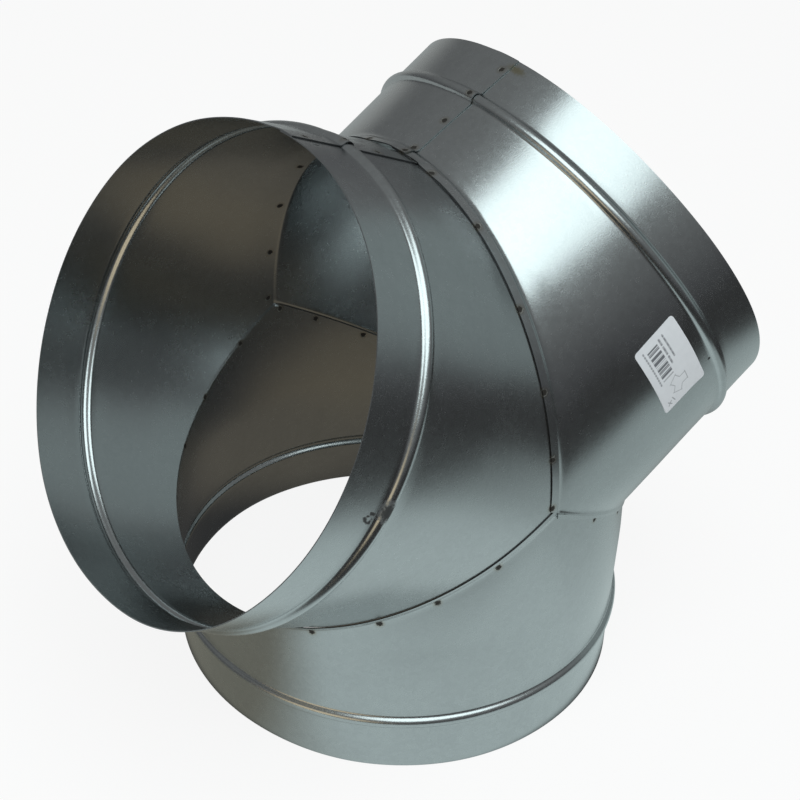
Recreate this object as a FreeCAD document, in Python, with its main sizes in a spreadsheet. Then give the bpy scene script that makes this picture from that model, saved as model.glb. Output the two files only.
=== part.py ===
import FreeCAD, Part
import math
import os
import Sketcher

# Three-way Y branch for round sheet steel duct. Three equal sleeves leave one point, in the XZ
# plane, and meet on mitres. The left and right arms rise, and the lower sleeve points straight
# down and stands on its mouth, whose centre is the origin. +Z is up.
#
# Each sleeve is one rolled sheet with a lap seam and a bead near its mouth. The right arm's edge is
# bent over both neighbours as a narrow flange and spot welded there, and so is the lower sleeve's
# edge over the left arm. A paper label is stuck on the right arm.

DIMENSIONS = [
    ("collar_diameter", 249.0, "outside of a plain collar, which goes into a 250 mm duct"),
    ("sheet_gauge", 0.55, "thickness of the galvanised sheet"),
    ("sleeve_length", 146.0, "from the crossing of the axes to a mouth"),
    ("arm_angle", 60.0, "between an arm's axis and the vertical, in degrees"),
    ("bead_setback", 30.0, "from a mouth to the middle of its bead"),
    ("bead_width", 9.0, "along the sleeve, between the bead's feet"),
    ("bead_rise", 2.6, "of the bead's crown above the wall"),
    ("bead_foot_radius", 2.0, "outside, where the bead leaves the wall"),
    ("flange_width", 4.5, "of the edge that is bent over a neighbour"),
    ("fold_width", 1.2, "of the raised fold on the sleeve's own side of the mitre"),
    ("lap_width", 10.0, "of sheet on sheet at a seam"),
    ("lap_clearance", 1.0, "between a seam's upper sheet and a neighbour's flange"),
    ("heel_radius", 60.0, "of the arc on which a seam's upper sheet comes off the wall"),
    ("left_seam_angle", -7.0, "of the left arm's seam, from its crotch with the right arm, degrees"),
    ("right_seam_angle", 180.0, "of the right arm's seam, from its crotch with the lower sleeve"),
    ("lower_seam_angle", 180.0, "of the lower sleeve's seam, from its crotch with the left arm"),
    ("label_length", 47.0, "of the paper label, around the arm"),
    ("label_width", 29.0, "of the paper label, along the arm"),
    ("label_thickness", 0.12, "of the paper"),
    ("label_corner", 2.0, "radius of the label's corners"),
    ("label_setback", 54.0, "from the right mouth to the middle of the label"),
    ("label_angle", -97.0, "of the label, from the crotch with the lower sleeve, in degrees"),
]

doc = FreeCAD.newDocument("DuctYBranch")
sheet = doc.addObject("Spreadsheet::Sheet", "Sizes")
for row, (alias, amount, meaning) in enumerate(DIMENSIONS, start=1):
    sheet.set(f"A{row}", alias)
    sheet.set(f"B{row}", str(amount))
    sheet.set(f"C{row}", meaning)
    sheet.setAlias(f"B{row}", alias)
doc.recompute()


def value(expression):
    """What an expression comes to now, for where a sketch is first drawn."""
    result = sheet.evalExpression(expression)
    return float(getattr(result, "Value", result))


# What several pieces share, as expressions of the sheet.
RADIUS = "(Sizes.collar_diameter / 2)"
GAUGE = "Sizes.sheet_gauge"
LENGTH = "Sizes.sleeve_length"
BEAD_HEIGHT = f"({LENGTH} - Sizes.bead_setback)"
HALF_BEAD = "(Sizes.bead_width / 2)"

# How far tubes and cutting blocks reach past what they cut.
OVERRUN = "(Sizes.collar_diameter / 10)"
REACH = f"({LENGTH} + Sizes.collar_diameter)"

# Half of the angle between two sleeves' axes: arm to arm, and arm to lower sleeve.
ARM_MITRE = "Sizes.arm_angle"
LOWER_MITRE = "(90 - Sizes.arm_angle / 2)"

# Each sleeve is made upright, from the crossing of the axes at 0 to its mouth at +Z, and is then
# turned about Y and lifted to the crossing.
TURNS = {
    "left": "-Sizes.arm_angle",
    "right": "Sizes.arm_angle",
    "lower": f"Sizes.arm_angle + 2 * {LOWER_MITRE}",
}


def stand(piece, sleeve):
    """Places a piece that was made in a sleeve's own frame."""
    turn = FreeCAD.Rotation(FreeCAD.Vector(0, 1, 0), value(TURNS[sleeve]))
    piece.Placement = FreeCAD.Placement(FreeCAD.Vector(0, 0, value(LENGTH)), turn)
    piece.setExpression("Placement.Base.z", LENGTH)
    piece.setExpression("Placement.Rotation.Angle", TURNS[sleeve])


def sketch_on(body, name, role, turn="0"):
    """A sketch on a plane of the body, turned about the body's Z axis."""
    sketch = body.newObject("Sketcher::SketchObject", name)
    plane = next(f for f in body.Origin.OriginFeatures if f.Role == role)
    sketch.AttachmentSupport = [(plane, "")]
    sketch.MapMode = "FlatFace"
    upright = FreeCAD.Vector(0, 1, 0)
    sketch.AttachmentOffset = FreeCAD.Placement(
        FreeCAD.Vector(), FreeCAD.Rotation(upright, value(turn) or 360)
    )
    sketch.setExpression("AttachmentOffset.Rotation.Angle", turn)
    return sketch


def constrain(sketch, constraints):
    """Adds the geometric constraints, each written as its kind and places."""
    for terms in constraints:
        sketch.addConstraint(Sketcher.Constraint(*terms))


def bind(sketch, name, kind, *places_and_expression):
    """Adds a dimension to a sketch and ties it to the sheet."""
    *places, expression = places_and_expression
    index = sketch.addConstraint(Sketcher.Constraint(kind, *places, value(expression)))
    sketch.renameConstraint(index, name)
    sketch.setExpression(f"Constraints.{name}", expression)


def polygon(sketch, points):
    """A closed outline of straight lines through the points."""
    corners = [FreeCAD.Vector(x, y, 0) for x, y in points]
    ends = corners[1:] + corners[:1]
    sketch.addGeometry([Part.LineSegment(a, b) for a, b in zip(corners, ends)], False)
    count = len(corners)
    constrain(sketch, [("Coincident", n, 2, (n + 1) % count, 1) for n in range(count)])


# The bead's section is a crown arc between two foot arcs, tangent to each other and to the wall.
# A face that lies further out has a larger crown and a smaller foot about the same centres.
CROWN_RADIUS = (
    f"((Sizes.bead_rise ^ 2 + {HALF_BEAD} ^ 2) / (2 * Sizes.bead_rise) - Sizes.bead_foot_radius)"
)
ROOT = "0"


def filled_section(sketch, layer, start, axis=ROOT):
    """The section from an axis out to one face of the sheet, from a start height to the mouth.

    Layer -1 is the wall's inner face, 0 its outer face and 1 that of a second sheet on the wall.
    """
    out = f"({layer} * {GAUGE})"
    face = value(f"{RADIUS} + {out}")
    foot_radius = value(f"Sizes.bead_foot_radius - {out}")
    crown_radius = value(f"{CROWN_RADIUS} + {out}")
    foot_x = value(f"{RADIUS} + Sizes.bead_foot_radius")
    crown_x = value(f"{RADIUS} + Sizes.bead_rise - {CROWN_RADIUS}")
    crown_y = value(BEAD_HEIGHT)
    low_y = value(f"{BEAD_HEIGHT} - {HALF_BEAD}")
    high_y = value(f"{BEAD_HEIGHT} + {HALF_BEAD}")
    bottom = value(start)
    top_y = value(LENGTH)
    root = value(axis)
    lean = math.atan2(high_y - crown_y, foot_x - crown_x)

    def point(x, y):
        return FreeCAD.Vector(x, y, 0)

    def arc(x, y, arc_radius, first, last):
        circle = Part.Circle(point(x, y), FreeCAD.Vector(0, 0, 1), arc_radius)
        return Part.ArcOfCircle(circle, first, last)

    sketch.addGeometry(
        [
            Part.LineSegment(point(face, bottom), point(face, low_y)),
            arc(foot_x, low_y, foot_radius, math.pi - lean, math.pi),
            arc(crown_x, crown_y, crown_radius, -lean, lean),
            arc(foot_x, high_y, foot_radius, math.pi, math.pi + lean),
            Part.LineSegment(point(face, high_y), point(face, top_y)),
            Part.LineSegment(point(face, top_y), point(root, top_y)),
            Part.LineSegment(point(root, top_y), point(root, bottom)),
            Part.LineSegment(point(root, bottom), point(face, bottom)),
        ],
        False,
    )
    wall, low, crown, high, collar, mouth, core, foot = range(8)
    constrain(sketch, [
        ("Tangent", wall, 2, low, 2),
        ("Tangent", low, 1, crown, 1),
        ("Tangent", crown, 2, high, 2),
        ("Tangent", high, 1, collar, 1),
        ("Coincident", collar, 2, mouth, 1),
        ("Coincident", mouth, 2, core, 1),
        ("Coincident", core, 2, foot, 1),
        ("Coincident", foot, 2, wall, 1),
        ("Vertical", wall),
        ("Vertical", collar),
        ("Vertical", core),
        ("Horizontal", mouth),
        ("Horizontal", foot),
        ("Equal", low, high),
    ])
    bind(sketch, "face", "DistanceX", -1, 1, wall, 1, f"{RADIUS} + {out}")
    bind(sketch, "foot_radius", "Radius", low, f"Sizes.bead_foot_radius - {out}")
    bind(sketch, "crown_radius", "Radius", crown, f"{CROWN_RADIUS} + {out}")
    bind(sketch, "low_foot", "DistanceY", -1, 1, low, 3, f"{BEAD_HEIGHT} - {HALF_BEAD}")
    bind(sketch, "crown", "DistanceY", -1, 1, crown, 3, BEAD_HEIGHT)
    bind(sketch, "high_foot", "DistanceY", -1, 1, high, 3, f"{BEAD_HEIGHT} + {HALF_BEAD}")
    bind(sketch, "mouth", "DistanceY", -1, 1, mouth, 1, LENGTH)
    if bottom < 0:
        bind(sketch, "start", "DistanceY", foot, 1, -1, 1, f"-({start})")
    else:
        bind(sketch, "start", "DistanceY", -1, 1, foot, 1, start)
    if axis == ROOT:
        constrain(sketch, [("PointOnObject", core, 1, -2)])
    else:
        bind(sketch, "axis", "DistanceX", -1, 1, core, 1, axis)
        pivot = sketch.addGeometry(Part.LineSegment(point(root, bottom), point(root, top_y)), True)
        constrain(sketch, [("Coincident", pivot, 2, core, 1), ("Coincident", pivot, 1, foot, 1)])


def turned(body, kind, name, sketch, angle, clockwise=False, axis="V_Axis"):
    """Turns a section about the sleeve's axis, or about the section's own construction line."""
    feature = body.newObject("PartDesign::" + kind, name)
    feature.Profile = sketch
    feature.ReferenceAxis = (sketch, [axis])
    feature.Reversed = clockwise
    feature.setExpression("Angle", angle)


# A seam's upper sheet lies on the wall for the lap's width. Behind that it comes off the wall on its
# heel, an arc of a smaller radius that is tangent to the lap and sinks into the wall. The heel's
# axis stands off the sleeve's axis by HEEL_AXIS. HEEL_ANGLE is where the two circles cross, and a
# little more.
LAP_ANGLE = f"(Sizes.lap_width / {RADIUS} * 180 / pi)"
HEEL_AXIS = f"({RADIUS} + {GAUGE} - Sizes.heel_radius)"
HEEL_ANGLE = (
    f"(acos(({RADIUS} ^ 2 - {HEEL_AXIS} ^ 2 - Sizes.heel_radius ^ 2)"
    f" / (2 * {HEEL_AXIS} * Sizes.heel_radius)) * 1.1)"
)


def seam_start(crossed):
    """Where a seam's upper sheet starts: at the mitre, or clear of the flange that it would cross."""
    if crossed is None:
        return f"-{OVERRUN}"
    edge = f"(Sizes.flange_width + Sizes.lap_clearance) / sin({crossed})"
    return f"{edge} + ({RADIUS} + {GAUGE}) / tan({crossed})"


def mitre_cut(body, right_mitre, left_mitre):
    """Cuts the foot of an upright sleeve along its two mitre planes."""
    sketch = sketch_on(body, body.Name + "_mitres", "XZ_Plane")
    right_rise = f"{REACH} / tan({right_mitre})"
    left_rise = f"{REACH} / tan({left_mitre})"
    far = value(REACH)
    polygon(sketch, [
        (0, 0),
        (far, value(right_rise)),
        (far, -far),
        (-far, -far),
        (-far, value(left_rise)),
    ])
    constrain(sketch, [
        ("Coincident", 0, 1, -1, 1),
        ("Vertical", 1),
        ("Horizontal", 2),
        ("Vertical", 3),
    ])
    bind(sketch, "right", "DistanceX", -1, 1, 1, 1, REACH)
    bind(sketch, "right_rise", "DistanceY", -1, 1, 1, 1, right_rise)
    bind(sketch, "depth", "DistanceY", 2, 1, -1, 1, REACH)
    bind(sketch, "left", "DistanceX", 4, 1, -1, 1, REACH)
    bind(sketch, "left_rise", "DistanceY", -1, 1, 4, 1, left_rise)
    cut = body.newObject("PartDesign::Pocket", body.Name + "_mitre_cut")
    cut.Profile = sketch
    cut.SideType = "Symmetric"
    cut.Type = "ThroughAll"
    body.Tip = cut


def rolled_sleeve(name, sleeve, right_mitre, left_mitre, seam, clockwise, crossed=None):
    """A rolled sleeve in its place: beaded, lapped at its seam, bored and mitred.

    The seam's upper sheet lies from the seam's angle on, counterclockwise or clockwise about the
    sleeve's axis, and its heel follows. The mitre that it crosses under a flange is `crossed`.
    """
    body = doc.addObject("PartDesign::Body", name)
    foot = f"-{OVERRUN}"
    start = seam_start(crossed)
    sign = "-" if clockwise else "+"
    heel = f"{seam} {sign} {LAP_ANGLE}"

    outside = sketch_on(body, name + "_outside", "XZ_Plane")
    filled_section(outside, 0, foot)
    turned(body, "Revolution", name + "_wall", outside, "360")
    lap_outside = sketch_on(body, name + "_lap_outside", "XZ_Plane", seam)
    filled_section(lap_outside, 1, start)
    turned(body, "Revolution", name + "_lap", lap_outside, LAP_ANGLE, clockwise)
    heel_outside = sketch_on(body, name + "_heel_outside", "XZ_Plane", heel)
    filled_section(heel_outside, 1, start, HEEL_AXIS)
    turned(body, "Revolution", name + "_heel", heel_outside, HEEL_ANGLE, clockwise, "Axis0")

    inside = sketch_on(body, name + "_inside", "XZ_Plane")
    filled_section(inside, -1, foot)
    turned(body, "Groove", name + "_bore", inside, "360")
    heel_inside = sketch_on(body, name + "_heel_inside", "XZ_Plane", heel)
    filled_section(heel_inside, 0, start, HEEL_AXIS)
    turned(body, "Groove", name + "_heel_bore", heel_inside, HEEL_ANGLE, clockwise, "Axis0")

    mitre_cut(body, right_mitre, left_mitre)
    stand(body, sleeve)
    return body


def tube(name, thickness):
    """A tube of the thickness that lies on an upright sleeve's outer face."""
    outer = doc.addObject("Part::Cylinder", name + "_outside")
    outer.setExpression("Radius", f"{RADIUS} + {thickness}")
    inner = doc.addObject("Part::Cylinder", name + "_inside")
    inner.setExpression("Radius", RADIUS)
    for cylinder in (outer, inner):
        cylinder.setExpression("Height", REACH)
        cylinder.setExpression("Placement.Base.z", f"-{OVERRUN}")
    ring = doc.addObject("Part::Cut", name + "_tube")
    ring.Base = outer
    ring.Tool = inner
    return ring


def mitre_strip(name, sleeve, side, mitre, width):
    """A strip of sheet on a sleeve, along its mitre on the +X side (1) or the -X side (-1).

    A flange is such a strip on the neighbour, and its fold is one on the sleeve itself. The two
    strips meet in the mitre plane.
    """
    sketch = doc.addObject("Sketcher::SketchObject", name + "_outline")
    upright = FreeCAD.Rotation(FreeCAD.Vector(1, 0, 0), 90)
    sketch.Placement = FreeCAD.Placement(FreeCAD.Vector(), upright)
    rise = f"{REACH} / tan({mitre})"
    height = f"{width} / sin({mitre})"
    far = side * value(REACH)
    polygon(sketch, [
        (0, 0),
        (far, value(rise)),
        (far, value(rise) + value(height)),
        (0, value(height)),
    ])
    constrain(sketch, [("Coincident", 0, 1, -1, 1), ("Vertical", 1), ("Vertical", 3)])
    ends = (-1, 1, 1, 1) if side > 0 else (1, 1, -1, 1)
    bind(sketch, "far", "DistanceX", *ends, REACH)
    bind(sketch, "rise", "DistanceY", -1, 1, 1, 1, rise)
    bind(sketch, "near_height", "DistanceY", 0, 1, 3, 1, height)
    bind(sketch, "far_height", "DistanceY", 1, 1, 1, 2, height)
    block = doc.addObject("Part::Extrusion", name + "_block")
    block.Base = sketch
    block.DirMode = "Normal"
    block.Solid = True
    block.Symmetric = True
    block.setExpression("LengthFwd", f"2 * {REACH}")
    strip = doc.addObject("Part::Common", name)
    strip.Base = tube(name, GAUGE)
    strip.Tool = block
    stand(strip, sleeve)
    return strip


def joined(name, pieces):
    """One sheet from its sleeve, folds and flanges."""
    whole = doc.addObject("Part::MultiFuse", name)
    whole.Shapes = pieces
    whole.Refine = True
    return whole


def paper_label():
    """The label: a rounded rectangle of paper that follows the right arm's wall."""
    body = doc.addObject("PartDesign::Body", "label_block")
    sketch = sketch_on(body, "label_outline", "YZ_Plane", "Sizes.label_angle")
    middle = f"({LENGTH} - Sizes.label_setback)"
    corner = value("Sizes.label_corner")
    right = value("Sizes.label_length / 2")
    low = value(f"{middle} - Sizes.label_width / 2")
    high = value(f"{middle} + Sizes.label_width / 2")
    centres = [
        (right - corner, low + corner),
        (right - corner, high - corner),
        (corner - right, high - corner),
        (corner - right, low + corner),
    ]
    arcs = []
    for quarter, (x, y) in enumerate(centres):
        circle = Part.Circle(FreeCAD.Vector(x, y, 0), FreeCAD.Vector(0, 0, 1), corner)
        first = (quarter - 1) * math.pi / 2
        arcs.append(Part.ArcOfCircle(circle, first, first + math.pi / 2))
    following = arcs[1:] + arcs[:1]
    lines = [Part.LineSegment(a.EndPoint, b.StartPoint) for a, b in zip(arcs, following)]
    sketch.addGeometry(arcs + lines, False)
    right_side, top, left_side, bottom = range(4, 8)
    for quarter in range(4):
        constrain(sketch, [
            ("Tangent", quarter, 2, 4 + quarter, 1),
            ("Tangent", 4 + quarter, 2, (quarter + 1) % 4, 1),
        ])
    constrain(sketch, [
        ("Vertical", right_side),
        ("Horizontal", top),
        ("Vertical", left_side),
        ("Horizontal", bottom),
        ("Equal", 0, 1),
        ("Equal", 0, 2),
        ("Equal", 0, 3),
    ])
    bind(sketch, "corner", "Radius", 0, "Sizes.label_corner")
    bind(sketch, "right", "DistanceX", -1, 1, right_side, 1, "Sizes.label_length / 2")
    bind(sketch, "left", "DistanceX", left_side, 1, -1, 1, "Sizes.label_length / 2")
    bind(sketch, "low", "DistanceY", -1, 1, bottom, 1, f"{middle} - Sizes.label_width / 2")
    bind(sketch, "high", "DistanceY", -1, 1, top, 1, f"{middle} + Sizes.label_width / 2")
    block = body.newObject("PartDesign::Pad", "label_pad")
    block.Profile = sketch
    block.setExpression("Length", REACH)
    paper = doc.addObject("Part::Common", "label_paper")
    paper.Base = tube("label", "Sizes.label_thickness")
    paper.Tool = body
    stand(paper, "right")
    return paper


left_arm = rolled_sleeve(
    "left_arm", "left", ARM_MITRE, LOWER_MITRE, "Sizes.left_seam_angle", False, ARM_MITRE
)
right_arm = joined("right_arm_with_flanges", [
    rolled_sleeve("right_arm", "right", LOWER_MITRE, ARM_MITRE, "Sizes.right_seam_angle", True),
    mitre_strip("right_fold_at_left", "right", -1, ARM_MITRE, "Sizes.fold_width"),
    mitre_strip("right_flange_on_left", "left", 1, ARM_MITRE, "Sizes.flange_width"),
    mitre_strip("right_fold_at_lower", "right", 1, LOWER_MITRE, "Sizes.fold_width"),
    mitre_strip("right_flange_on_lower", "lower", -1, LOWER_MITRE, "Sizes.flange_width"),
])
lower_tube = joined("lower_with_flange", [
    rolled_sleeve(
        "lower", "lower", LOWER_MITRE, LOWER_MITRE, "Sizes.lower_seam_angle", False, LOWER_MITRE
    ),
    mitre_strip("lower_fold_at_left", "lower", 1, LOWER_MITRE, "Sizes.fold_width"),
    mitre_strip("lower_flange_on_left", "left", -1, LOWER_MITRE, "Sizes.flange_width"),
])

SUB_PARTS = {
    "left_sleeve": left_arm,
    "right_sleeve": right_arm,
    "lower_sleeve": lower_tube,
    "label": paper_label(),
}
for node, piece in SUB_PARTS.items():
    piece.Label = node
doc.recompute()

for made in doc.Objects:
    if {"Invalid", "Error"} & set(made.State):
        raise RuntimeError(f"{made.Name} could not be made: {made.State}")
for node, piece in SUB_PARTS.items():
    shape = piece.Shape
    if shape.isNull() or not shape.isValid() or len(shape.Solids) != 1:
        raise RuntimeError(f"{node} is not one sound solid")

os.makedirs("parts", exist_ok=True)
for node, piece in SUB_PARTS.items():
    piece.Shape.exportStep(f"parts/{node}.step")
    print(node, round(piece.Shape.Volume), "mm3")
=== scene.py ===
import math

import bpy
import numpy as np
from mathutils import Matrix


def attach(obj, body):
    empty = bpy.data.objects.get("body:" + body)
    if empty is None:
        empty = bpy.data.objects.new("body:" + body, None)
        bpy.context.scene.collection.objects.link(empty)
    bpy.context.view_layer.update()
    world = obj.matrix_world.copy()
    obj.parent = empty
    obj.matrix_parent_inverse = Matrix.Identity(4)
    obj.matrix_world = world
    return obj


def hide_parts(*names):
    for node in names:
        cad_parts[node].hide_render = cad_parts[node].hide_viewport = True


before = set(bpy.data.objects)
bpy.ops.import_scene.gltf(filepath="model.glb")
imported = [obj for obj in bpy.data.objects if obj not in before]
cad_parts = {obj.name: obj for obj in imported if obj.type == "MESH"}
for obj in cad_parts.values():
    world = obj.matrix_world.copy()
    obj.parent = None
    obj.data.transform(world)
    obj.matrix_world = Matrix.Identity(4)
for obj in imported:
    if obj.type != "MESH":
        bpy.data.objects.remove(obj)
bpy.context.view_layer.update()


# Camera.
# It stands in front of the branch, to its left and above it, where the photograph was taken,
# and is turned a little about its own line of sight.
def facing(side, up, back, place):
    """The matrix, as Blender takes it, that puts a thing at a place with these as its own axes."""
    placed = np.eye(4)
    placed[:3, 0] = side
    placed[:3, 1] = up
    placed[:3, 2] = back
    placed[:3, 3] = place
    return placed.T


def stand_camera():
    """At a distance from its target along back, with its right and up turned by roll about back."""
    azimuth, elevation, roll = -0.6682, 0.5924, 0.0238
    distance = 0.8401
    focus_pixels = 1554.2
    picture_pixels = 800
    film_width = 36.0
    target = np.array([-0.00077, 0.0, 0.14466])
    back = np.array([
        math.sin(azimuth) * math.cos(elevation),
        -math.cos(azimuth) * math.cos(elevation),
        math.sin(elevation),
    ])
    level = np.cross([0.0, 0.0, 1.0], back)
    level /= np.linalg.norm(level)
    upright = np.cross(back, level)
    right = math.cos(roll) * level + math.sin(roll) * upright
    up = math.cos(roll) * upright - math.sin(roll) * level
    data = bpy.data.cameras.new("camera")
    data.sensor_width = film_width
    data.lens = focus_pixels / picture_pixels * film_width
    data.clip_start = 0.01
    data.clip_end = 50.0
    camera = bpy.data.objects.new("camera", data)
    bpy.context.collection.objects.link(camera)
    camera.matrix_world = facing(right, up, back, target + back * distance)
    bpy.context.scene.camera = camera


stand_camera()


# Left arm.
# One sheet of galvanised steel, rolled round and lapped along the top, with a bead rolled in near
# its mouth. Its foot is cut on two mitres and lies under the other two sleeves' flanges. The thin
# sheet has been pressed out of round towards its mouth. Sizes are in millimetres until a mesh.
WALL_RADIUS = 124.5
GAUGE = 0.55
SLEEVE_LENGTH = 146.0
BEAD_HEIGHT = 116.0
BEAD_HALF_WIDTH = 4.5
MITRE_SLOPE = 1 / math.sqrt(3)

# A seam's lap and the heel where its upper sheet comes down again, and the play between the two
# sheets. The free edge stands off a little more, above all where it crosses the bead.
LAP_DEGREES = 4.6
HEEL_DEGREES = 6.0
LAP_PLAY = 0.08
EDGE_STANDS = 0.02
EDGE_STANDS_AT_BEAD = 0.4

# Each sleeve's turn from upright, and its seam's angle and the way its upper sheet lies from there.
SLEEVE_TURN = {"left": -60.0, "right": 60.0, "lower": 180.0}
SEAM = {"left": (-7.0, 1), "right": (182.0, -1), "lower": (180.0, 1)}


def smooth(x):
    """The cubic 3x^2 - 2x^3 of x held between 0 and 1."""
    held = np.clip(x, 0.0, 1.0)
    return held * held * (3 - 2 * held)


# How far each mouth is pushed outward, in mm, every 30 degrees round from the crotch. It grows
# evenly to the mouth from this height. The left arm's lap also slants by some degrees, which
# fades round the sheet from there.
ROUND_TO = 68.5
PUSHED = {
    "left": (-10.4, -7.4, -1.1, 1.5, 1.5, 2.0, 2.5, 4.4, 3.1, 0.1, -3.6, -7.7),
    "right": (0.3, 0.7, 1.5, 2.0, 2.0, 0.9, -4.0, -7.9, -8.0, -1.8, -0.5, -0.5),
    "lower": (0.5, 1.1, 4.0, 5.1, 2.8, 0.8, -1.0, -2.3, 0.0, 2.8, 4.2, 2.1),
}
SEAM_SLANT = {"left": 5.5, "right": 0.0, "lower": 0.0}
SLANT_FADES = 45.0


def to_mouth(height):
    """0 up to ROUND_TO and 1 at the mouth, evenly between."""
    return np.clip((height - ROUND_TO) / (SLEEVE_LENGTH - ROUND_TO), 0.0, 1.0)


def pushed_out(sleeve, angle):
    """Outward move of a mouth at an angle: the sum of waves that meets its 12 values."""
    values = np.array(PUSHED[sleeve])
    waves = np.fft.rfft(values) / len(values)
    count = np.arange(len(waves))
    weight = np.where((count > 0) & (count < len(waves) - 1), 2.0, 1.0)
    turns = np.radians(angle)[..., None] * count
    return (weight * (waves.real * np.cos(turns) - waves.imag * np.sin(turns))).sum(axis=-1)


def on_sleeve(sleeve, angle, radius, height):
    """Crossing + height along the axis + reach (cos angle crotch + sin angle Y), in mm.

    The angle is in degrees about the sleeve's axis, from the crotch on the sleeve's +X side
    before it is turned. The reach is radius + to_mouth(height) times pushed_out(angle).
    """
    turn = math.radians(SLEEVE_TURN[sleeve])
    axis = np.array([math.sin(turn), 0.0, math.cos(turn)])
    crotch = np.array([math.cos(turn), 0.0, -math.sin(turn)])
    reach = radius + to_mouth(height) * pushed_out(sleeve, angle)
    across = np.cos(np.radians(angle)) * reach
    deep = np.sin(np.radians(angle)) * reach
    flat = height[..., None] * axis + across[..., None] * crotch + deep[..., None] * [0.0, 1.0, 0.0]
    return flat + [0.0, 0.0, SLEEVE_LENGTH]


def mitre_height(angle, radius=WALL_RADIUS):
    """Height of the mitre at an angle: radius |cos angle| / sqrt 3."""
    return radius * np.abs(np.cos(np.radians(angle))) * MITRE_SLOPE


def from_seam(sleeve, angle):
    """Degrees from the seam's free edge, the way the upper sheet lies, from -180 to 180."""
    start, way = SEAM[sleeve]
    return (way * (angle - start) + 180) % 360 - 180


def lap_lift(sleeve, angle):
    """Share of a gauge that the upper sheet is raised: 1 on the lap, and down to 0 on the heel."""
    after = from_seam(sleeve, angle)
    return np.where(after >= 0, 1 - smooth((after - LAP_DEGREES) / HEEL_DEGREES), 0.0)


# How far each sheet waves from a true tube: size in mm, turns round, turns along its length, phase.
# The waves grow from the mitre over some mm, and the bead holds the sheet truer near itself.
WAVES = {
    "left": [(0.22, 2, 0.5, 0.4), (0.16, 4, -0.6, 1.9), (0.09, 7, 1.1, 0.7), (0.05, 13, -1.4, 2.8)],
    "right": [(0.18, 2, -0.4, 2.2), (0.17, 5, 0.7, 0.3), (0.10, 8, -1.2, 1.1), (0.05, 14, 1.6, 0.2)],
    "lower": [(0.16, 3, 0.5, 1.2), (0.13, 5, -0.7, 2.6), (0.07, 9, 1.0, 0.9), (0.04, 12, -1.7, 1.7)],
}
WAVES_GROW_OVER = 22.0
BEAD_HOLDS = 0.67
BEAD_HOLDS_OVER = 9.0


def waviness(sleeve, angle, height):
    """Sum of sines of angle and height, 0 at the mitre and a third as large along the bead."""
    turns = np.radians(angle)
    runs = height / SLEEVE_LENGTH * 2 * math.pi
    total = sum(a * np.sin(n * turns + m * runs + p) for a, n, m, p in WAVES[sleeve])
    from_mitre = smooth((height - mitre_height(angle)) / WAVES_GROW_OVER)
    at_bead = 1 - BEAD_HOLDS * np.exp(-((height - BEAD_HEIGHT) / BEAD_HOLDS_OVER) ** 2)
    return total * from_mitre * at_bead


def bead_rows():
    """The bead's outer line: height from its middle, rise, and the normal's lean in radians.

    A crown arc of radius c about (0, rise - c) runs between two foot arcs of radius 2 about
    (+-half width, 2), all tangent, so each point is its centre +- radius (sin lean, cos lean).
    """
    rise, foot = 2.6, 2.0
    crown = (rise ** 2 + BEAD_HALF_WIDTH ** 2) / (2 * rise) - foot
    lean = math.atan2(BEAD_HALF_WIDTH, foot + crown - rise)
    rising = np.linspace(0, -lean, 6)[:-1]
    over = np.linspace(-lean, lean, 17)
    falling = np.linspace(lean, 0, 6)[1:]
    low = np.stack([-BEAD_HALF_WIDTH - foot * np.sin(rising), foot - foot * np.cos(rising)])
    top = np.stack([crown * np.sin(over), rise - crown + crown * np.cos(over)])
    high = np.stack([BEAD_HALF_WIDTH - foot * np.sin(falling), foot - foot * np.cos(falling)])
    height, rises = np.concatenate([low, top, high], axis=1)
    return height, rises, np.concatenate([rising, over, falling])


def sheet_columns(start, stop, fine_at):
    """Angles across a sheet: every 0.7 degrees, and every 0.3 within 9 of the places named."""
    coarse, fine, reach, closest = 0.7, 0.3, 9.0, 0.14
    spans = [np.arange(start, stop, coarse), np.array([stop])]
    for place in fine_at:
        spans.append(np.arange(max(start, place - reach), min(stop, place + reach), fine))
    angles = np.unique(np.round(np.concatenate(spans), 3))
    apart = np.diff(angles, prepend=angles[0] - 1) > closest
    apart[-1] = True
    return angles[apart]


# The rows next to a mitre, as heights above it, the number of those from there to the bead, and
# those of a collar and a flange, as shares of its width.
NEAR_MITRE = np.array([0.0, 0.4, 0.9, 1.5, 2.2, 3.2, 4.5, 6.0])
BODY_ROWS = 16
COLLAR_ROWS = np.array([0.12, 0.3, 0.5, 0.7, 0.86, 0.96, 1.0])
FLANGE_ROWS = np.array([1.0, 0.97, 0.86, 0.72, 0.56, 0.4, 0.25, 0.12, 0.04])

# The wide flange joins the two arms and the narrow ones join the lower sleeve, and these widen
# towards the crossing of all three. Each lies on its neighbour with some slack.
WIDE_FLANGE = 5.2
NARROW_FLANGE = 1.8
CROSSING_WIDENS = 1.4
SLACK = 0.06

# A fold stands off by its bend at the crotch and by none at the crossing. The lift onto the
# neighbour and the bend both fade out some mm up the wall. Between its welds the free edge gapes
# a little, and the wide one's gapes more near its crown.
WIDE_BEND = 1.7
NARROW_BEND = 0.5
FOLD_REACH = 2.2
BEND_REACH = 4.5
EDGE_GAP = 0.05
CROWN_GAP = 0.38


def fold_lift(sleeve, angle):
    """1 where a sleeve's own edge is folded over its neighbour, else 0, with 3 degrees between."""
    if sleeve == "right":
        return np.ones_like(angle)
    if sleeve == "left":
        return np.zeros_like(angle)
    cosine_of_change = 0.05
    return smooth(np.cos(np.radians(angle)) / cosine_of_change + 1)


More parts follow.
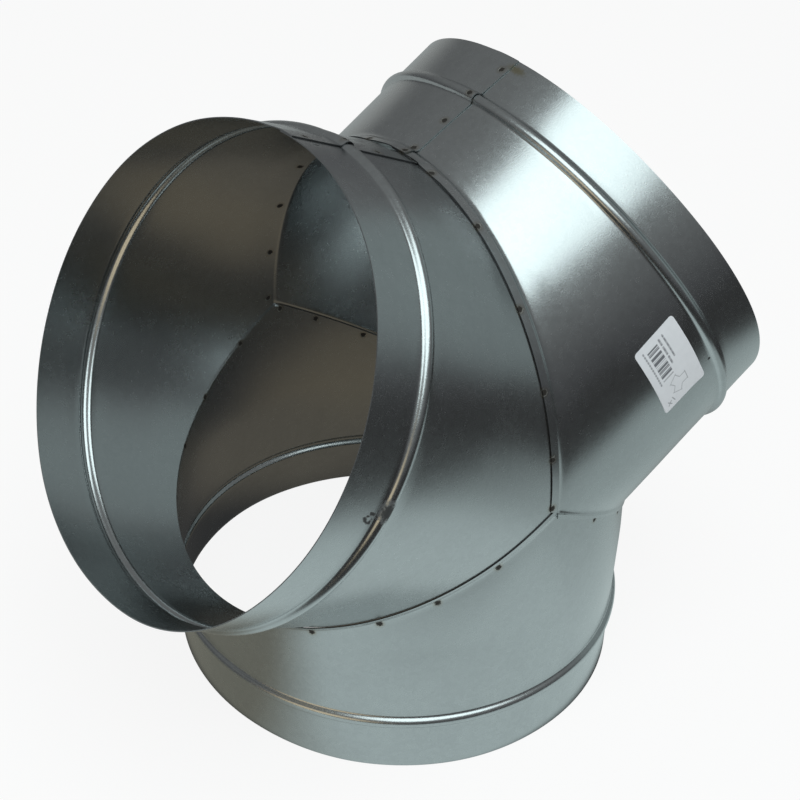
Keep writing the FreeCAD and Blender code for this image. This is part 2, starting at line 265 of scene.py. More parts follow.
def nearest_mark(angle, height, marks):
    """Offset of each place from its nearest mark, across and along, and its length, in mark sizes.

    A mark is its angle, its height, and its half width and half height in mm.
    """
    angles, heights, wide, high = np.array(marks, float).T
    turned = (angle[..., None] - angles + 180) % 360 - 180
    across = np.radians(turned) * WALL_RADIUS / wide
    along = (height[..., None] - heights) / high
    away = np.hypot(across, along)
    nearest = np.argmin(away, axis=-1)[..., None]
    return np.concatenate([np.take_along_axis(a, nearest, -1) for a in (across, along, away)], -1)


# Spot welds of each joint, as angles on its first sleeve, and their heights from the mitre. Those
# of a seam lie some degrees in from its free edge. The last is a mark that no place is near.
WELDS_LEFT_UNDER_RIGHT = [-89, -78, -64, -47, -28, -11, -1, 12, 28, 45, 61, 76, 89]
WELDS_LEFT_TO_LOWER = [-105, -119, -132, -148, -165, 178, 162, 147, 132, 118, 102]
WELDS_LOWER_TO_RIGHT = [-105, -121, -138, -155, -171, 172, 155, 137, 117, 103, 92]
WELD_SIZE = 1.6
WIDE_FLANGE_WELD = 4.3
BELOW_FLANGE_WELD = 2.8
SEAM_WELD_HEIGHTS = [76.0, 97.0, 116.0, 137.0]
SEAM_WELDS_IN = 1.6
NOWHERE = [(0, -500, 1, 1)]


def joint_welds(angles, above, mirrored=False):
    """Marks at a height above a mitre, at angles of this sleeve or, mirrored, of its neighbour."""
    own = [(180 - a if mirrored else a) for a in angles]
    return [(a, mitre_height(a) + above, WELD_SIZE, WELD_SIZE) for a in own]


def seam_welds(sleeve):
    """Marks along a lap, in from its free edge."""
    start, way = SEAM[sleeve]
    angle = start + way * SEAM_WELDS_IN
    return [(angle, height, WELD_SIZE, WELD_SIZE) for height in SEAM_WELD_HEIGHTS]


def welds_under(welds):
    """The same marks as seen on the sleeve under the flange: 180 - angle, mirrored in the mitre."""
    return [(180 - a, 2 * mitre_height(a) - h, wide, high) for a, h, wide, high in welds]


def wall_rows(near_height):
    """Heights of a wall's rows from those near the mitre, and their bead rises and leans.

    The rest climb evenly to the bead, follow its outer line, and cross the collar to the mouth.
    """
    column = np.ones_like(near_height[-1:])
    bead_at, bead_rise, bead_lean = (line[1:] for line in bead_rows())
    foot = BEAD_HEIGHT - BEAD_HALF_WIDTH
    collar_foot = BEAD_HEIGHT + BEAD_HALF_WIDTH
    climb = np.linspace(0, 1, BODY_ROWS + 1)[1:, None]
    body_height = near_height[-1:] + (foot - near_height[-1:]) * climb
    bead_height = (BEAD_HEIGHT + bead_at[:, None]) * column
    collar_height = (collar_foot + (SLEEVE_LENGTH - collar_foot) * COLLAR_ROWS[:, None]) * column
    height = np.concatenate([near_height, body_height, bead_height, collar_height])
    flat_rows = (len(near_height) + BODY_ROWS, len(COLLAR_ROWS))
    return height, np.pad(bead_rise, flat_rows)[:, None], np.pad(bead_lean, flat_rows)[:, None]


def flange_grids(flange_on, angles, wide_one, bend, lap, welds):
    """A flange's outer and inner points, its marks and its flat pattern.

    A point is on_sleeve(180 - angle, wall radius + gauge + slack + what lies under it + gap,
    mitre height + way from the fold) on the neighbour, so it is the wall mirrored in the mitre.
    The gap falls from the bend at the fold, and grows with the square of the way to a free edge
    that is between welds.
    """
    near_crossing, held_by_weld, opens_over, crown_degrees = 0.35, 1.5, 8.0, 30.0
    opposite = 180 - angles
    to_crossing = 1 - smooth(np.abs(np.cos(np.radians(angles))) / near_crossing)
    width = WIDE_FLANGE if wide_one else NARROW_FLANGE + CROSSING_WIDENS * to_crossing
    from_fold = FLANGE_ROWS[:, None] * width * np.ones_like(angles)
    share = from_fold / width
    under = GAUGE * lap_lift(flange_on, opposite) + (GAUGE + SLACK) * fold_lift(flange_on, opposite)
    gap = EDGE_GAP
    if wide_one:
        weld_line = mitre_height(opposite) + WIDE_FLANGE_WELD
        to_weld = nearest_mark(opposite, weld_line, welds_under(welds))[..., 2] * WELD_SIZE
        between = smooth((to_weld - held_by_weld) / opens_over)
        crown = np.exp(-(((opposite + 180) % 360 - 180) / crown_degrees) ** 2)
        gap = between * (EDGE_GAP + CROWN_GAP * crown) * share ** 2
    gap = gap + bend * (1 - share)
    radius = WALL_RADIUS + GAUGE + SLACK + under + gap + lap
    wide = opposite * np.ones_like(radius)
    height = from_fold + mitre_height(angles, radius)
    inner_height = from_fold + mitre_height(angles, radius - GAUGE)
    outer = on_sleeve(flange_on, wide, radius, height)
    inner = on_sleeve(flange_on, wide, radius - GAUGE, inner_height)
    weld = nearest_mark(wide, height, welds_under(welds))
    around = np.radians(angles) * WALL_RADIUS * np.ones_like(radius)
    flat = np.stack([around, 2 * mitre_height(angles) - height], axis=-1)
    return np.stack([outer, inner]), weld, flat


def sheet_patch(sleeve, angle, flange_on, welds, soot=NOWHERE, inner_soot=NOWHERE, wax=NOWHERE):
    """One stretch of a rolled sheet as grids of outer and inner points, with its marks.

    Rows run from a flange's free edge, or the mitre, up the wall, over the bead and to the mouth.
    A wall point is on_sleeve(angle, wall radius + lift + waviness + bead rise, height), and the
    inner point is one gauge behind it along the sheet's normal.
    """
    bend_curve, bead_crossing = 1.3, 5.0
    angles = angle[None, :]
    start, way = SEAM[sleeve]
    turned_on = way * (angles - start) + (0 if way > 0 else 360)
    # The sheet's last stretch, past 300 degrees, runs on under its own lap and isn't raised.
    lap = np.where(turned_on > 300, 0.0, (GAUGE + LAP_PLAY) * lap_lift(sleeve, angles))
    free_edge = np.where(turned_on < LAP_DEGREES, 1 - turned_on / LAP_DEGREES, 0.0)

    wide_one = {sleeve, flange_on} == {"left", "right"}
    bend = (WIDE_BEND if wide_one else NARROW_BEND) * np.abs(np.cos(np.radians(angles)))
    near = NEAR_MITRE[:, None] * np.ones_like(angles)
    fold = fold_lift(sleeve, angles) * (
        (GAUGE + SLACK) * (1 - smooth(near / FOLD_REACH))
        + bend * np.clip(1 - near / BEND_REACH, 0, 1) ** bend_curve
    )
    height, rises, leans = wall_rows(near + mitre_height(angles, WALL_RADIUS + fold + lap))
    folded = np.zeros_like(height)
    folded[:len(near)] = fold
    at_bead = np.exp(-((height - BEAD_HEIGHT) / bead_crossing) ** 2)
    standing = free_edge * (EDGE_STANDS + EDGE_STANDS_AT_BEAD * at_bead)
    lifted = folded + lap + standing + waviness(sleeve, angles, height)
    near_seam = np.exp(-(from_seam(sleeve, angles) / SLANT_FADES) ** 2)
    slanted = angles + SEAM_SLANT[sleeve] * to_mouth(height) * near_seam

    def behind(depth):
        radius = WALL_RADIUS + rises + lifted - depth * np.cos(leans)
        return on_sleeve(sleeve, slanted, radius, height - depth * np.sin(leans))

    points = np.stack([behind(0.0), behind(GAUGE)])
    weld = nearest_mark(angles * np.ones_like(height), height, welds)
    rolled = np.stack([np.radians(angles) * WALL_RADIUS * np.ones_like(height), height], axis=-1)
    if flange_on:
        flange, flange_weld, flat = flange_grids(flange_on, angles, wide_one, bend, lap, welds)
        points = np.concatenate([flange, points], axis=1)
        weld = np.concatenate([flange_weld, weld])
        rolled = np.concatenate([flat, rolled])
    place = np.degrees(rolled[..., 0] / WALL_RADIUS)

    def marked(*sides):
        return np.stack([nearest_mark(place, rolled[..., 1], side) for side in sides])

    return {
        "points": points,
        "weld": np.stack([weld, weld]),
        "rolled": np.stack([rolled, rolled]),
        "soot": marked(soot, inner_soot),
        "wax": marked(wax, NOWHERE),
        "flange_rows": len(FLANGE_ROWS) if flange_on else 0,
    }


def patch_faces(rows, columns, left_rows, right_rows, dark_lap=False):
    """Quads of a closed sheet, and each one's material: 0 zinc, 1 cut edge darkened with painted gap
    shade, or 2 edge of a lap.

    They are the outer and inner grids, both ends, and the sides of some rows. The mouth's edge
    stays zinc.
    """
    outer = np.arange(rows * columns).reshape(rows, columns)
    inner = outer + rows * columns

    def quads(a, b, c, d):
        return np.stack([a.ravel(), b.ravel(), c.ravel(), d.ravel()], axis=1)

    def side(a, b, count):
        return quads(a[:count], a[1:count + 1], b[1:count + 1], b[:count])

    whole = [
        quads(outer[:-1, :-1], outer[:-1, 1:], outer[1:, 1:], outer[1:, :-1]),
        quads(inner[:-1, 1:], inner[:-1, :-1], inner[1:, :-1], inner[1:, 1:]),
        quads(outer[-1, :-1], outer[-1, 1:], inner[-1, 1:], inner[-1, :-1]),
    ]
    sides = [
        side(outer[:, 0], inner[:, 0], left_rows),
        side(inner[:, -1], outer[:, -1], right_rows),
    ]
    cut = [quads(outer[0, 1:], outer[0, :-1], inner[0, :-1], inner[0, 1:])]
    # Cut edges, and the sides of a dark lap, take material 1, which is darkened as painted shade of
    # the gap beside them.
    groups = [(whole, 0), (sides, 1 if dark_lap else 2), (cut, 1)]
    kinds = [np.full(len(faces), kind) for group, kind in groups for faces in group]
    return np.concatenate(whole + sides + cut), np.concatenate(kinds)


def linked(name, mesh):
    """Finishes a mesh, smooth but for its sharp edges, and puts it in the scene as a piece."""
    mesh.polygons.foreach_set("use_smooth", np.ones(len(mesh.polygons), bool))
    mesh.set_sharp_from_angle(angle=math.radians(50))
    mesh.update()
    piece = bpy.data.objects.new(name, mesh)
    bpy.context.collection.objects.link(piece)
    return piece


def sheet_object(name, patches, dark_lap=False):
    """Joins a sheet's patches into one closed mesh, in metres, with its marks as attributes."""
    marks = ("weld", "soot", "wax", "rolled")
    fields = {field: [] for field in ("points",) + marks}
    faces, kinds, count = [], [], 0
    for number, patch in enumerate(patches):
        rows, columns = patch["points"].shape[1:3]
        left_rows = rows - 1 if number == 0 else patch["flange_rows"]
        right_rows = rows - 1 if number == len(patches) - 1 else patch["flange_rows"]
        quads, kind = patch_faces(rows, columns, left_rows, right_rows, dark_lap)
        faces.append(quads + count)
        kinds.append(kind)
        for field, found in fields.items():
            found.append(patch[field].reshape(-1, patch[field].shape[-1]))
        count += 2 * rows * columns
    joined = {field: np.concatenate(found) for field, found in fields.items()}
    points = np.round(joined["points"] / 1000, 7)
    _, kept, renumbered = np.unique(points, axis=0, return_index=True, return_inverse=True)
    faces = renumbered.ravel()[np.concatenate(faces)]
    mesh = bpy.data.meshes.new(name)
    mesh.from_pydata(points[kept].tolist(), [], faces.tolist())
    mesh.polygons.foreach_set("material_index", np.concatenate(kinds))
    for field in marks:
        stored = joined[field][kept]
        if field == "rolled":
            stored = np.pad(stored / 1000, ((0, 0), (0, 1)))
        attribute = mesh.attributes.new(field, "FLOAT_VECTOR", "POINT")
        attribute.data.foreach_set("vector", stored.astype(np.float32).ravel())
    return linked(name, mesh)


def rolled_sheet(name, sleeve, spans, welds, dark_lap=False, **marks):
    """A sleeve's sheet from its spans of angles, each with the sleeve that its flange lies on."""
    seam, _ = SEAM[sleeve]
    patches = []
    for low, high, flange_on in spans:
        angle = sheet_columns(low, high, [seam, seam + 360])
        patches.append(sheet_patch(sleeve, angle, flange_on, welds, **marks))
    return sheet_object(name, patches, dark_lap)


def wire(tree, kind, values=(), **inputs):
    """A node of a kind, with its settings, and its inputs set or linked by name or number."""
    node = tree.nodes.new(kind)
    for setting, value in values:
        setattr(node, setting, value)
    for name, source in inputs.items():
        socket = node.inputs[int(name[1:]) if name[0] == "_" else name.replace("_", " ")]
        if isinstance(source, bpy.types.NodeSocket):
            tree.links.new(source, socket)
        else:
            socket.default_value = source
    return node


def maths(tree, operation, *values):
    """The result of a Math node on numbers or sockets."""
    given = {f"_{place}": value for place, value in enumerate(values)}
    return wire(tree, "ShaderNodeMath", [("operation", operation)], **given).outputs[0]


def vector_maths(tree, operation, *values):
    """The result of a Vector Math node, which is a number for a length, distance or product."""
    given = {f"_{place}": value for place, value in enumerate(values)}
    node = wire(tree, "ShaderNodeVectorMath", [("operation", operation)], **given)
    single = operation in ("LENGTH", "DISTANCE", "DOT_PRODUCT")
    return node.outputs["Value" if single else "Vector"]


def eased(tree, value, start, stop, first=0.0, last=1.0):
    """A smooth step from first to last as a value goes from start to stop."""
    return wire(
        tree, "ShaderNodeMapRange", [("interpolation_type", "SMOOTHSTEP")],
        Value=value, From_Min=start, From_Max=stop, To_Min=first, To_Max=last,
    ).outputs["Result"]


def blended(tree, under, share, over):
    """A share of one colour over another."""
    return wire(
        tree, "ShaderNodeMix", [("data_type", "RGBA")], _0=share, _6=under, _7=over,
    ).outputs[2]


def zinc_grain():
    """A shader group: the fine spangle and rolling grain of a hot-dipped sheet, from its own roll."""
    group = bpy.data.node_groups.new("zinc_grain", "ShaderNodeTree")
    for name, kind, amount in (
        ("Tint", "NodeSocketColor", (0.5, 0.5, 0.5, 1.0)),
        ("Contrast", "NodeSocketFloat", 0.1),
        ("Roughness", "NodeSocketFloat", 0.3),
    ):
        socket = group.interface.new_socket(name, in_out="INPUT", socket_type=kind)
        socket.default_value = amount
    group.interface.new_socket("Color", in_out="OUTPUT", socket_type="NodeSocketColor")
    group.interface.new_socket("Roughness", in_out="OUTPUT", socket_type="NodeSocketFloat")
    group.interface.new_socket("Height", in_out="OUTPUT", socket_type="NodeSocketFloat")
    given = group.nodes.new("NodeGroupInput").outputs
    result = group.nodes.new("NodeGroupOutput").inputs
    place = wire(group, "ShaderNodeAttribute", [("attribute_name", "rolled")]).outputs["Vector"]
    drawn = wire(group, "ShaderNodeMapping", Vector=place, Scale=(1.0, 0.7, 1.0)).outputs["Vector"]
    cells = wire(group, "ShaderNodeTexVoronoi", Vector=place, Scale=420.0)
    cell = wire(group, "ShaderNodeSeparateColor", Color=cells.outputs["Color"])
    grain = wire(
        group, "ShaderNodeTexNoise", Vector=drawn, Scale=1100.0, Detail=3.0, Roughness=0.7,
    ).outputs["Fac"]
    clouds = wire(
        group, "ShaderNodeTexNoise", Vector=drawn, Scale=38.0, Detail=4.0, Roughness=0.55,
    ).outputs["Fac"]
    cell_share, middle, roughened = 0.4, 1.22, 0.05
    added = maths(group, "MULTIPLY_ADD", cell.outputs["Red"], cell_share, grain)
    centred = maths(group, "SUBTRACT", maths(group, "ADD", added, clouds), middle)
    swing = maths(group, "MULTIPLY_ADD", centred, given["Contrast"], 1.0)
    colour = wire(
        group, "ShaderNodeVectorMath", [("operation", "SCALE")], _0=given["Tint"], Scale=swing,
    ).outputs["Vector"]
    rough = maths(group, "MULTIPLY_ADD", centred, roughened, given["Roughness"])
    group.links.new(colour, result["Color"])
    group.links.new(rough, result["Roughness"])
    group.links.new(grain, result["Height"])
    return group


ZINC_GRAIN = zinc_grain()


def burnt_spots():
    """A shader group: masks of welds, soot and wax from each place's offset to the nearest mark."""
    group = bpy.data.node_groups.new("burnt_spots", "ShaderNodeTree")
    for name in ("Core", "Halo", "Soot", "Wax"):
        group.interface.new_socket(name, in_out="OUTPUT", socket_type="NodeSocketFloat")
    result = group.nodes.new("NodeGroupOutput")
    place = wire(group, "ShaderNodeAttribute", [("attribute_name", "rolled")])
    ragged = wire(
        group, "ShaderNodeTexNoise", Vector=place.outputs["Vector"], Scale=900.0, Detail=3.0,
    )

    def away_from(attribute):
        """Length of the offset, roughened, and kept large wherever the mark is far away."""
        found = wire(group, "ShaderNodeAttribute", [("attribute_name", attribute)])
        offset = found.outputs["Vector"]
        far_off, pushed_by, raggedness = 5.0, 9.0, 1.1
        length = vector_maths(group, "LENGTH", vector_maths(group, "MULTIPLY", offset, (1, 1, 0)))
        stored = wire(group, "ShaderNodeSeparateXYZ", Vector=offset).outputs["Z"]
        far = maths(group, "GREATER_THAN", stored, far_off)
        kept = maths(group, "MULTIPLY_ADD", far, pushed_by, length)
        return maths(group, "MULTIPLY_ADD", ragged.outputs["Fac"], raggedness, kept)

    weld, soot, wax = away_from("weld"), away_from("soot"), away_from("wax")
    for name, away, inside, outside in (
        ("Core", weld, 1.3, 1.75),
        ("Halo", weld, 1.5, 2.8),
        ("Soot", soot, 1.0, 1.75),
        ("Wax", wax, 0.8, 1.9),
    ):
        group.links.new(eased(group, away, inside, outside, 1.0, 0.0), result.inputs[name])
    return group


BURNT_SPOTS = burnt_spots()


def galvanised(name, tint, roughness):
    """Half-gloss zinc with its grain, brown-black spot welds and the stains of handling.

    Each stain lies over the last by its share of its mask. Burnt places are rougher and less
    metallic, and the welds are sunk.
    """
    material = bpy.data.materials.new(name)
    material.use_nodes = True
    tree = material.node_tree
    shader = tree.nodes["Principled BSDF"]
    grain = wire(
        tree, "ShaderNodeGroup", [("node_tree", ZINC_GRAIN)],
        Tint=tint, Contrast=0.15, Roughness=roughness,
    )
    spots = wire(tree, "ShaderNodeGroup", [("node_tree", BURNT_SPOTS)])
    colour = grain.outputs["Color"]
    for stain, shade, share in (
        ("Halo", (0.30, 0.25, 0.17, 1.0), 0.35),
        ("Wax", (0.30, 0.25, 0.09, 1.0), 0.6),
        ("Soot", (0.02, 0.02, 0.02, 1.0), 0.9),
        ("Core", (0.018, 0.014, 0.011, 1.0), 0.96),
    ):
        colour = blended(tree, colour, maths(tree, "MULTIPLY", spots.outputs[stain], share), shade)
    less_metallic, rougher, sunk = -0.55, 0.35, -6.0
    burnt = maths(tree, "MAXIMUM", spots.outputs["Core"], spots.outputs["Soot"])
    metallic = maths(tree, "MULTIPLY_ADD", burnt, less_metallic, 1.0)
    rough = maths(tree, "MULTIPLY_ADD", burnt, rougher, grain.outputs["Roughness"])
    relief = maths(tree, "MULTIPLY_ADD", spots.outputs["Core"], sunk, grain.outputs["Height"])
    bump = wire(tree, "ShaderNodeBump", Height=relief, Distance=0.00004, Strength=0.6)
    tree.links.new(colour, shader.inputs["Base Color"])
    tree.links.new(metallic, shader.inputs["Metallic"])
    tree.links.new(rough, shader.inputs["Roughness"])
    tree.links.new(bump.outputs["Normal"], shader.inputs["Normal"])
    return material


GALVANISED = galvanised("galvanised_sheet", (0.455, 0.48, 0.487, 1.0), 0.26)
# Bare steel of the cut edges, darkened further as painted shade of the gap beside each edge.
CUT_EDGE_AND_GAP_SHADE = galvanised("cut_edge_and_gap_shade", (0.10, 0.10, 0.105, 1.0), 0.55)
LAP_EDGE = galvanised("lap_edge", (0.22, 0.235, 0.24, 1.0), 0.45)


def finish_sleeve(piece, node):
    """Gives a sleeve its zinc and its cut edges, darkened with painted gap shade, and puts it in its
    node's place.
    """
    for material in (GALVANISED, CUT_EDGE_AND_GAP_SHADE, LAP_EDGE):
        piece.data.materials.append(material)
    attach(piece, "root")
    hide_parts(node)


def make_left_sleeve():
    start, _ = SEAM["left"]
    welds = joint_welds(WELDS_LEFT_UNDER_RIGHT, WIDE_FLANGE_WELD) + seam_welds("left")
    soot = [
        (-94.3, 116.6, 5.6, 3.8), (-95.6, 123.6, 1.0, 0.8), (-96.8, 126.3, 0.8, 1.4),
        (-97.8, 124.0, 0.8, 0.7), (-9.5, 136.0, 1.6, 2.4),
    ]
    inner_soot = [(77.0, 118.0, 1.5, 1.5)]
    spans = [(start, start + 360 + LAP_DEGREES, None)]
    # The lap's sides are dark: the cut-edge colour paints the shade of the gap under the lap.
    piece = rolled_sheet(
        "left_sleeve_sheet", "left", spans, welds, dark_lap=True, soot=soot, inner_soot=inner_soot,
    )
    finish_sleeve(piece, "left_sleeve")


make_left_sleeve()


# Lower sleeve.
# A rolled sheet like the left arm's, whose seam faces the right arm. On the left arm's side its
# edge is folded over that arm as a flange and spot welded down. The branch stands on its mouth.
def make_lower_sleeve():
    start, _ = SEAM["lower"]
    welds = (
        joint_welds(WELDS_LEFT_TO_LOWER, BELOW_FLANGE_WELD, mirrored=True)
        + joint_welds(WELDS_LOWER_TO_RIGHT, BELOW_FLANGE_WELD)
        + seam_welds("lower")
    )
    spans = [
        (start, 270.0, None),
        (270.0, 450.0, "left"),
        (450.0, start + 360 + LAP_DEGREES, None),
    ]
    piece = rolled_sheet("lower_sleeve_sheet", "lower", spans, welds)
    finish_sleeve(piece, "lower_sleeve")


make_lower_sleeve()


# Right arm.
# A rolled sheet whose seam faces the left arm. Its edge is folded over both other sleeves as a
# flange, and spot welded down. It has a yellow smear by its seam and a scuff on its bead.
def make_right_sleeve():
    start, _ = SEAM["right"]
    welds = joint_welds(WELDS_LEFT_UNDER_RIGHT, -WIDE_FLANGE_WELD, mirrored=True)
    welds += seam_welds("right")
    soot = [(-88.1, 111.5, 1.0, 1.0)]
    wax = [(-176.5, 141.0, 6.0, 2.6)]
    spans = [
        (start - LAP_DEGREES, 270.0, "left"),
        (270.0, 450.0, "lower"),
        (450.0, start + 360, "left"),
    ]
    piece = rolled_sheet("right_sleeve_sheet", "right", spans, welds, soot=soot, wax=wax)
    finish_sleeve(piece, "right_sleeve")


make_right_sleeve()


# Label.
# A coated paper sticker on the right arm, printed in dark grey with bars, plain strokes and the
# outline of a branch. It follows the sheet's waves, and one corner has begun to lift.
LABEL_LENGTH = 47.0
LABEL_WIDTH = 29.0
LABEL_CORNER = 2.0
LABEL_THICKNESS = 0.12
LABEL_ANGLE = -96.0
LABEL_HEIGHT = 91.0


def stroke(x, y, ends, width):
    """Ink of a round-ended line: 1 within half its width of the segment, down to 0 over 0.2 mm."""
    (x0, y0), (x1, y1) = ends
    run = (x1 - x0, y1 - y0)
    length = run[0] ** 2 + run[1] ** 2
    share = np.clip(((x - x0) * run[0] + (y - y0) * run[1]) / length, 0, 1)
    away = np.hypot(x - x0 - share * run[0], y - y0 - share * run[1])
    return 1 - smooth((away - width / 2) / 0.2 + 0.5)


def bars(x, y, left, right, low, high):
    """Ink of a run of bars: those of a seeded row of narrow cells that came out dark."""
    cells = np.random.default_rng(7).random(72) > 0.46
    share = (x - left) / (right - left)
    cell = np.clip((share * len(cells)).astype(int), 0, len(cells) - 1)
    inside = (share >= 0) & (share < 1) & (y > low) & (y < high)
    return np.where(inside & cells[cell], 0.85, 0.0)


def label_print(x, y):
    """Ink from 0 to 1 at x along the label's long side and y across it, in mm."""
    ink = bars(x, y, 5.5, 27.0, 6.3, 13.8)
    words = [
        (4.5, 8.0, 15.6), (9.6, 14.6, 15.6), (16.4, 21.0, 15.6),
        (4.0, 5.0, 18.5), (6.0, 18.8, 18.5),
    ]
    digits = np.arange(3.6, 27.0, 1.9)
    for low, high, level in words:
        marks = 0.5 + 0.5 * np.sign(np.sin((x - low) * 9.0) + 0.35 * np.sin(x * 23.0))
        line = stroke(x, y, ((low, level), (high, level)), 1.1)
        ink = np.maximum(ink, line * (0.35 + 0.5 * marks))
    for low in digits:
        ink = np.maximum(ink, 0.6 * stroke(x, y, ((low, 4.4), (low + 0.7, 4.4)), 1.0))
    cross = [((41.0, 3.6), (44.0, 5.6)), ((41.4, 5.8), (43.6, 3.4)), ((40.2, 7.0), (43.4, 8.0))]
    for ends in cross:
        ink = np.maximum(ink, 0.7 * stroke(x, y, ends, 0.5))
    middle = (35.0, 14.0)
    for turn in (90, 210, 330):
        out = np.array([math.cos(math.radians(turn)), math.sin(math.radians(turn))])
        side = np.array([-out[1], out[0]])
        for way in (-2.6, 2.6):
            foot = middle + side * way + out * 1.5
            ink = np.maximum(ink, 0.6 * stroke(x, y, (foot, foot + out * 4.0), 0.35))
        rim = middle + out * 5.5
        ink = np.maximum(ink, 0.6 * stroke(x, y, (rim - side * 3.2, rim + side * 3.2), 0.35))
    return ink


def make_label():
    """A rounded rectangle on the arm: x runs round it, and each row narrows to round the ends."""
    rows, columns = 118, 189
    y = np.linspace(-0.5, 0.5, rows)[:, None] * LABEL_WIDTH
    past = np.clip(np.abs(y) - (LABEL_WIDTH / 2 - LABEL_CORNER), 0, LABEL_CORNER)
    narrow = LABEL_CORNER - np.sqrt(LABEL_CORNER ** 2 - past ** 2)
    x = np.linspace(-1, 1, columns)[None, :] * (LABEL_LENGTH / 2 - narrow)
    angle = LABEL_ANGLE + np.degrees(x / WALL_RADIUS)
    height = LABEL_HEIGHT + y * np.ones_like(x)
    corner = np.hypot(x - LABEL_LENGTH / 2, y - LABEL_WIDTH / 2)
    lift = 0.03 + 0.5 * (1 - smooth(corner / 9.0)) + waviness("right", angle, height)
    outer = on_sleeve("right", angle, WALL_RADIUS + LABEL_THICKNESS + lift, height)
    inner = on_sleeve("right", angle, WALL_RADIUS + lift, height)
    faces, _ = patch_faces(rows, columns, rows - 1, rows - 1)
    points = np.concatenate([outer.reshape(-1, 3), inner.reshape(-1, 3)]) / 1000
    mesh = bpy.data.meshes.new("paper_label")
    mesh.from_pydata(points.tolist(), [], faces.tolist())
    ink = label_print(x + LABEL_LENGTH / 2, y + LABEL_WIDTH / 2)
    attribute = mesh.attributes.new("ink", "FLOAT", "POINT")
    both = np.concatenate([ink.ravel(), np.zeros(ink.size)])
    attribute.data.foreach_set("value", both.astype(np.float32))
    piece = linked("paper_label", mesh)

    material = bpy.data.materials.new("label_paper")
    material.use_nodes = True
    tree = material.node_tree
    shader = tree.nodes["Principled BSDF"]
    printed = wire(tree, "ShaderNodeAttribute", [("attribute_name", "ink")]).outputs["Fac"]
    place = wire(tree, "ShaderNodeTexCoord").outputs["Object"]
    cloud = wire(
        tree, "ShaderNodeTexNoise", Vector=place, Scale=260.0, Detail=4.0,
    ).outputs["Fac"]
    paper = blended(tree, (0.68, 0.69, 0.72, 1.0), cloud, (0.76, 0.77, 0.80, 1.0))
    colour = blended(tree, paper, printed, (0.06, 0.065, 0.08, 1.0))
    bump = wire(tree, "ShaderNodeBump", Height=cloud, Distance=0.00002, Strength=0.4)
    tree.links.new(colour, shader.inputs["Base Color"])
    tree.links.new(bump.outputs["Normal"], shader.inputs["Normal"])
    shader.inputs["Roughness"].default_value = 0.42
    mesh.materials.append(material)
    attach(piece, "root")
    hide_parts("label")


make_label()


# Floor and studio.
# A white floor that keeps the branch's soft shadow, an even white surround, and one large soft
# lamp high in front. Cards that only reflections see stand for the dim room about the table.
def plain_emission(name, build):
    """A material that only shines, with its colour from build(tree) and a strength of 1."""
    material = bpy.data.materials.new(name)
    material.use_nodes = True
    tree = material.node_tree
    tree.nodes.clear()
    shine = wire(tree, "ShaderNodeEmission", Color=build(tree), Strength=1.0)
    output = tree.nodes.new("ShaderNodeOutputMaterial")
    tree.links.new(shine.outputs[0], output.inputs["Surface"])
    return material


def reflected_only(card):
    """Leaves a staged card to glossy rays alone."""
    card.visible_camera = False
    card.visible_diffuse = False
    card.visible_shadow = False
    card.visible_transmission = False
    card.visible_volume_scatter = False


def reaches_eye(tree):
    """1 for rays from the camera, reflections and glass, and 0 for those that light things."""
    path = wire(tree, "ShaderNodeLightPath").outputs
    clamped = [("operation", "ADD"), ("use_clamp", True)]
    seen = wire(
        tree, "ShaderNodeMath", clamped, _0=path["Is Camera Ray"], _1=path["Is Glossy Ray"],
    )
    return wire(
        tree, "ShaderNodeMath", clamped, _0=seen.outputs[0], _1=path["Is Transmission Ray"],
    ).outputs[0]


def make_floor():
    """A matt white floor whose own white shows through by a share, and keeps a soft shadow."""
    bpy.ops.mesh.primitive_plane_add(size=40.0, location=(0.0, 0.0, -0.0003))
    floor = bpy.context.object
    floor.name = "floor"
    material = bpy.data.materials.new("floor")
    material.use_nodes = True
    tree = material.node_tree
    tree.nodes.clear()
    own_white = 0.88
    matt = wire(tree, "ShaderNodeBsdfDiffuse", Color=(0.9, 0.9, 0.9, 1.0))
    white = wire(tree, "ShaderNodeEmission", Color=(1.0, 1.0, 1.0, 1.0), Strength=1.0)
    share = maths(tree, "MULTIPLY", reaches_eye(tree), own_white)
    mixed = wire(
        tree, "ShaderNodeMixShader", _0=share, _1=matt.outputs[0], _2=white.outputs[0],
    )
    output = tree.nodes.new("ShaderNodeOutputMaterial")
    tree.links.new(mixed.outputs[0], output.inputs["Surface"])
    floor.data.materials.append(material)


make_floor()


